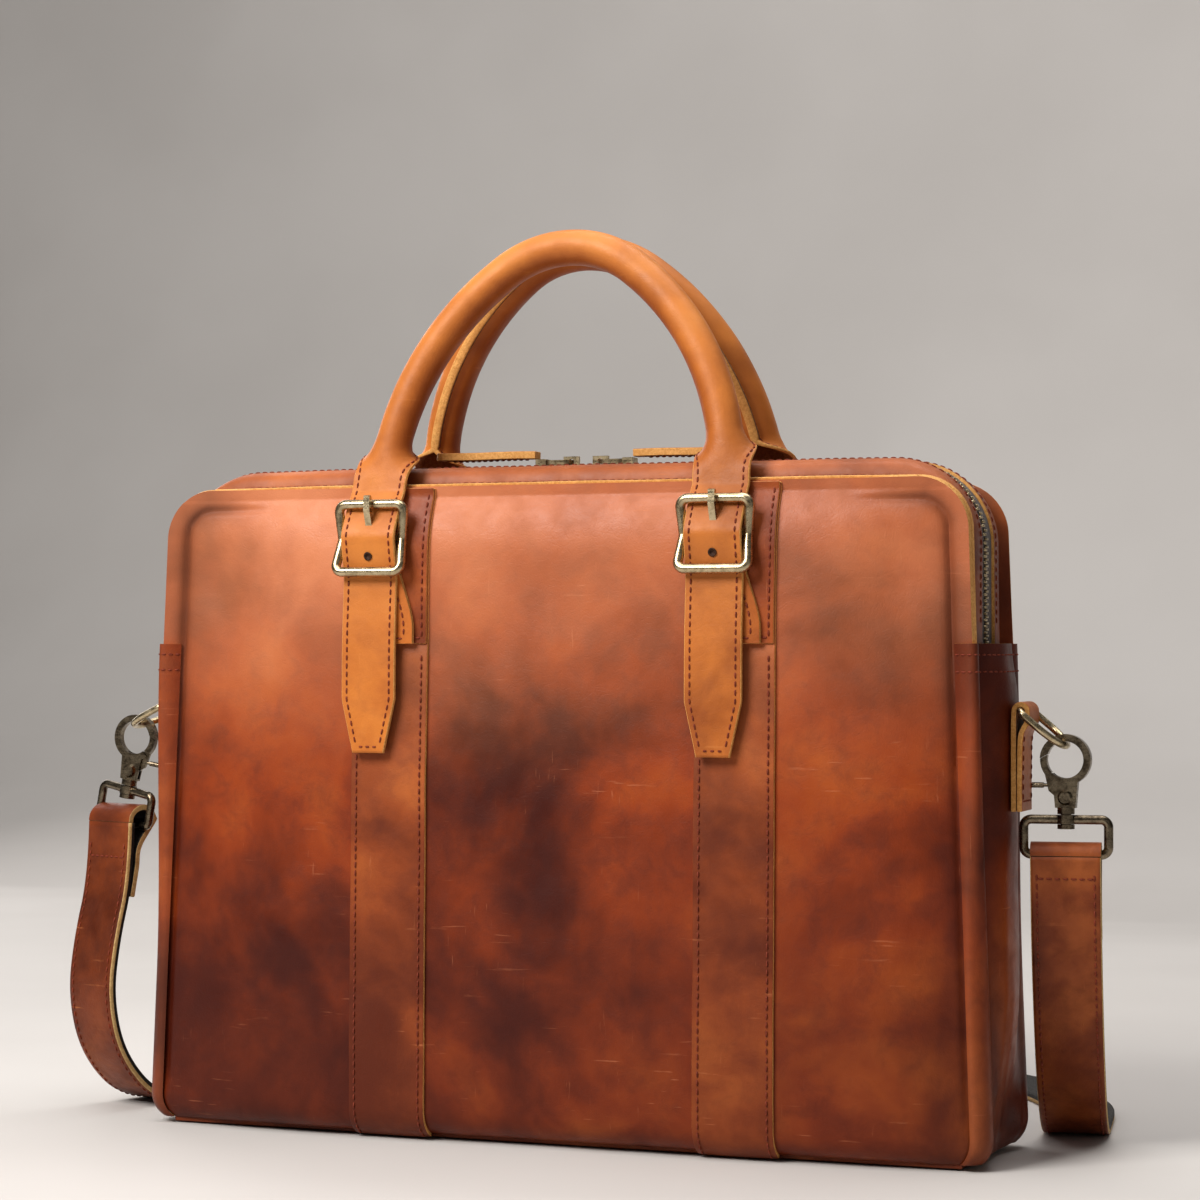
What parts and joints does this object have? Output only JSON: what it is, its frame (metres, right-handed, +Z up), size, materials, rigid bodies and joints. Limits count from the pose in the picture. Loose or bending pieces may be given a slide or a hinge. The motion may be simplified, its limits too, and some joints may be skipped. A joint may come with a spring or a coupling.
{
  "type": "briefcase",
  "caption": "Soft leather zip-top briefcase with two rolled handles buckled to sewn bands, and a detachable shoulder strap on swivel snap hooks, laid behind it.",
  "frame": {"origin": "centre of the base, on the floor the bag stands on", "axes": "+X along the width (the wearer's right when the buckled front panel is seen from outside), -Y out of the front panel, +Z up"},
  "size_m": [0.5002, 0.3338, 0.4092],
  "materials": {
    "shell_leather": "waxed pull-up leather, cognac with pale rubs",
    "handle_leather": "waxed pull-up leather, lighter, with raw ochre edges",
    "strap_leather": "waxed pull-up leather with a black back",
    "antique_brass": "antique brass, brushed and rubbed",
    "dark_bronze": "dark antique bronze",
    "zip_fabric": "woven zip tape",
    "zip_metal": "worn antique brass",
    "lining_cloth": "cotton twill",
    "board": "stiff fibre board",
    "rope_core": "twisted cotton rope"
  },
  "bodies": {
    "bag": {"base_board": "board", "base_panel": "shell_leather", "front_left_band": "shell_leather", "front_left_buckle": "antique_brass", "front_left_chape": "shell_leather", "front_left_strap_tail": "handle_leather", "front_panel": "shell_leather", "front_right_band": "shell_leather", "front_right_buckle": "antique_brass", "front_right_chape": "shell_leather", "front_right_strap_tail": "handle_leather", "front_zip_band": "shell_leather", "laptop_divider": "lining_cloth", "left_side_panel": "shell_leather", "left_strap_drop": "strap_leather", "left_strap_fold": "strap_leather", "left_strap_ring": "dark_bronze", "left_tab": "shell_leather", "lining": "lining_cloth", "rear_left_band": "shell_leather", "rear_left_buckle": "antique_brass", "rear_left_chape": "shell_leather", "rear_left_strap_tail": "handle_leather", "rear_panel": "shell_leather", "rear_right_band": "shell_leather", "rear_right_buckle": "antique_brass", "rear_right_chape": "shell_leather", "rear_right_strap_tail": "handle_leather", "rear_zip_band": "shell_leather", "right_side_panel": "shell_leather", "right_strap_drop": "strap_leather", "right_strap_fold": "strap_leather", "right_strap_ring": "dark_bronze", "right_tab": "shell_leather", "shoulder_strap": "strap_leather", "slip_pocket": "lining_cloth", "zip_tape": "zip_fabric", "zip_teeth": "zip_metal"},
    "front_handle": {"front_handle": "handle_leather", "front_handle_core": "rope_core"},
    "rear_handle": {"rear_handle": "handle_leather", "rear_handle_core": "rope_core"},
    "front_left_prong": {"front_left_prong": "antique_brass"},
    "front_right_prong": {"front_right_prong": "antique_brass"},
    "rear_left_prong": {"rear_left_prong": "antique_brass"},
    "rear_right_prong": {"rear_right_prong": "antique_brass"},
    "left_slider": {"left_slider": "zip_metal"},
    "left_pull": {"left_pull_ring": "zip_metal", "left_pull_leather": "handle_leather"},
    "right_slider": {"right_slider": "zip_metal"},
    "right_pull": {"right_pull_ring": "zip_metal", "right_pull_leather": "handle_leather"},
    "left_d_ring": {"left_d_ring": "antique_brass"},
    "left_hook": {"left_hook": "dark_bronze", "left_rivet": "dark_bronze"},
    "left_gate": {"left_gate": "dark_bronze"},
    "right_d_ring": {"right_d_ring": "antique_brass"},
    "right_hook": {"right_hook": "dark_bronze", "right_rivet": "dark_bronze"},
    "right_gate": {"right_gate": "dark_bronze"}
  },
  "joints": [
    {"name": "front_handle_fold", "type": "hinge", "parent": "bag", "child": "front_handle", "pos_m": [0, -0.039, 0.2926], "axis": [1, 0, 0], "range_deg": [0, 100]},
    {"name": "rear_handle_fold", "type": "hinge", "parent": "bag", "child": "rear_handle", "pos_m": [0, 0.039, 0.2926], "axis": [-1, 0, 0], "range_deg": [0, 100]},
    {"name": "front_left_prong_turn", "type": "hinge", "parent": "bag", "child": "front_left_prong", "pos_m": [-0.0815, -0.0464, 0.269], "axis": [1, 0, 0], "range_deg": [0, 8]},
    {"name": "front_right_prong_turn", "type": "hinge", "parent": "bag", "child": "front_right_prong", "pos_m": [0.0815, -0.0464, 0.269], "axis": [1, 0, 0], "range_deg": [0, 8]},
    {"name": "rear_left_prong_turn", "type": "hinge", "parent": "bag", "child": "rear_left_prong", "pos_m": [-0.0815, 0.0464, 0.269], "axis": [-1, 0, 0], "range_deg": [0, 8]},
    {"name": "rear_right_prong_turn", "type": "hinge", "parent": "bag", "child": "rear_right_prong", "pos_m": [0.0815, 0.0464, 0.269], "axis": [-1, 0, 0], "range_deg": [0, 8]},
    {"name": "left_slider_run", "type": "slide", "parent": "bag", "child": "left_slider", "axis": [-1, 0, 0], "range_m": [0, 0.13]},
    {"name": "left_pull_swing", "type": "hinge", "parent": "left_slider", "child": "left_pull", "pos_m": [-0.0031, 0, 0.30475], "axis": [0, 1, 0], "range_deg": [0, 120]},
    {"name": "right_slider_run", "type": "slide", "parent": "bag", "child": "right_slider", "axis": [1, 0, 0], "range_m": [0, 0.13]},
    {"name": "right_pull_swing", "type": "hinge", "parent": "right_slider", "child": "right_pull", "pos_m": [0.0111, 0, 0.30475], "axis": [0, -1, 0], "range_deg": [0, 120]},
    {"name": "left_d_ring_swing", "type": "hinge", "parent": "bag", "child": "left_d_ring", "pos_m": [-0.2064, 0, 0.193], "axis": [0, -1, 0], "range_deg": [0, 6]},
    {"name": "left_hook_swivel", "type": "hinge", "parent": "bag", "child": "left_hook", "pos_m": [-0.22811, 0, 0.17701], "axis": [0.1736, 0, 0.9848], "range_deg": [-12, 12]},
    {"name": "left_gate_open", "type": "hinge", "parent": "left_hook", "child": "left_gate", "pos_m": [-0.23093, 0, 0.16105], "axis": [0, -1, 0], "range_deg": [0, 10], "stiffness_Nm_per_rad": 0.02},
    {"name": "right_d_ring_swing", "type": "hinge", "parent": "bag", "child": "right_d_ring", "pos_m": [0.2064, 0, 0.193], "axis": [0, 1, 0], "range_deg": [0, 6]},
    {"name": "right_hook_swivel", "type": "hinge", "parent": "bag", "child": "right_hook", "pos_m": [0.22402, 0, 0.17222], "axis": [0, 0, 1], "range_deg": [-12, 12]},
    {"name": "right_gate_open", "type": "hinge", "parent": "right_hook", "child": "right_gate", "pos_m": [0.22402, 0, 0.15602], "axis": [0, 1, 0], "range_deg": [0, 10], "stiffness_Nm_per_rad": 0.02}
  ]
}
